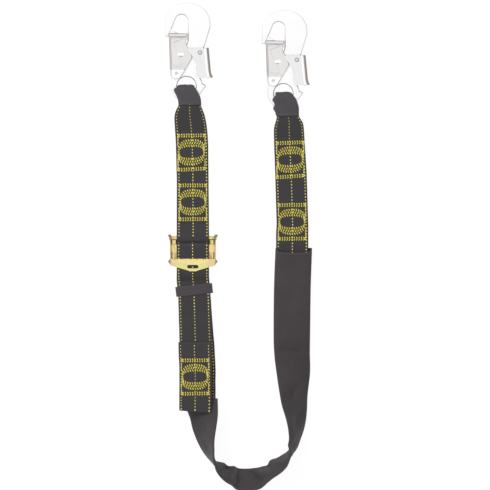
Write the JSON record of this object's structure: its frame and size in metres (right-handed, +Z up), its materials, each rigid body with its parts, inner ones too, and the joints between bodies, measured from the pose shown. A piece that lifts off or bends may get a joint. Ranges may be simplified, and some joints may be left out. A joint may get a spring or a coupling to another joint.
{
  "type": "shock absorbing lanyard",
  "caption": "Adjustable shock absorbing webbing lanyard lying flat, with double-locking snap hooks, a sliding strap adjuster, a keeper and a protective sleeve over the bend.",
  "frame": {"origin": "middle of the lanyard, on the surface it lies on", "axes": "+Y along the legs towards the snap hooks, +X to the right with the adjuster on the left leg, +Z up from the surface"},
  "size_m": [0.2258, 0.7529, 0.0573],
  "materials": {
    "forged_steel": "bright zinc-plated forging, softly polished",
    "gate_steel": "satin plated sheet steel",
    "lever_steel": "satin plated sheet steel",
    "rivet_steel": "turned steel",
    "spring_steel": "drawn wire",
    "yellow_zinc": "yellow passivated zinc with a rainbow bloom",
    "black_webbing": "heavy woven polyester webbing with yellow tracer yarns",
    "guard_fabric": "plain tubular woven fabric",
    "sleeve_fabric": "soft tubular woven nylon",
    "keeper_elastic": "fine woven elastic",
    "tear_webbing": "woven tear webbing",
    "yellow_thread": "zigzag stitched polyester thread"
  },
  "bodies": {
    "webbing": {"left_loop_guard": "guard_fabric", "left_hook_strap": "black_webbing", "left_upper_stitching": "yellow_thread", "left_lower_stitching": "yellow_thread", "right_loop_guard": "guard_fabric", "right_hook_strap": "black_webbing", "right_upper_stitching": "yellow_thread", "right_lower_stitching": "yellow_thread", "adjustable_strap": "black_webbing", "protective_sleeve": "sleeve_fabric", "absorber_tear_webbing": "tear_webbing", "absorber_stitching": "yellow_thread", "tail_stitching": "yellow_thread", "adjuster_frame": "yellow_zinc", "adjuster_top_bar": "yellow_zinc"},
    "left_hook": {"left_hook_body": "forged_steel", "left_gate_rivet": "rivet_steel", "left_lever_rivet": "rivet_steel", "left_gate_spring": "spring_steel", "left_lever_spring": "spring_steel"},
    "left_gate": {"left_gate": "gate_steel"},
    "left_lock_lever": {"left_lock_lever": "lever_steel"},
    "right_hook": {"right_hook_body": "forged_steel", "right_gate_rivet": "rivet_steel", "right_lever_rivet": "rivet_steel", "right_gate_spring": "spring_steel", "right_lever_spring": "spring_steel"},
    "right_gate": {"right_gate": "gate_steel"},
    "right_lock_lever": {"right_lock_lever": "lever_steel"},
    "slider": {"adjuster_slider": "yellow_zinc"},
    "keeper": {"strap_keeper": "keeper_elastic"}
  },
  "joints": [
    {"name": "left_hook_turn", "type": "hinge", "parent": "webbing", "child": "left_hook", "pos_m": [-0.0802, 0.2475, 0.0102], "axis": [0, 0, 1], "range_deg": [-35, 35]},
    {"name": "left_gate_swing", "type": "hinge", "parent": "left_hook", "child": "left_gate", "pos_m": [-0.0958, 0.2673, 0.0102], "axis": [0, 0, 1], "range_deg": [-25, 0], "stiffness_Nm_per_rad": 0.6, "springref_deg": 12},
    {"name": "left_lock_lever_press", "type": "hinge", "parent": "left_hook", "child": "left_lock_lever", "pos_m": [-0.0593, 0.2994, 0.0102], "axis": [0, 0, 1], "range_deg": [-12, 0], "stiffness_Nm_per_rad": 0.8, "springref_deg": 10},
    {"name": "right_hook_turn", "type": "hinge", "parent": "webbing", "child": "right_hook", "pos_m": [0.0698, 0.2362, 0.0102], "axis": [0, 0, 1], "range_deg": [-35, 35]},
    {"name": "right_gate_swing", "type": "hinge", "parent": "right_hook", "child": "right_gate", "pos_m": [0.0542, 0.256, 0.0102], "axis": [0, 0, 1], "range_deg": [-25, 0], "stiffness_Nm_per_rad": 0.6, "springref_deg": 12},
    {"name": "right_lock_lever_press", "type": "hinge", "parent": "right_hook", "child": "right_lock_lever", "pos_m": [0.0907, 0.2881, 0.0102], "axis": [0, 0, 1], "range_deg": [-12, 0], "stiffness_Nm_per_rad": 0.8, "springref_deg": 10},
    {"name": "slider_float", "type": "slide", "parent": "webbing", "child": "slider", "axis": [0, -1, 0], "range_m": [0, 0.006]},
    {"name": "keeper_slide", "type": "slide", "parent": "webbing", "child": "keeper", "axis": [0.0366, -0.9993, 0], "range_m": [-0.005, 0.022]}
  ]
}
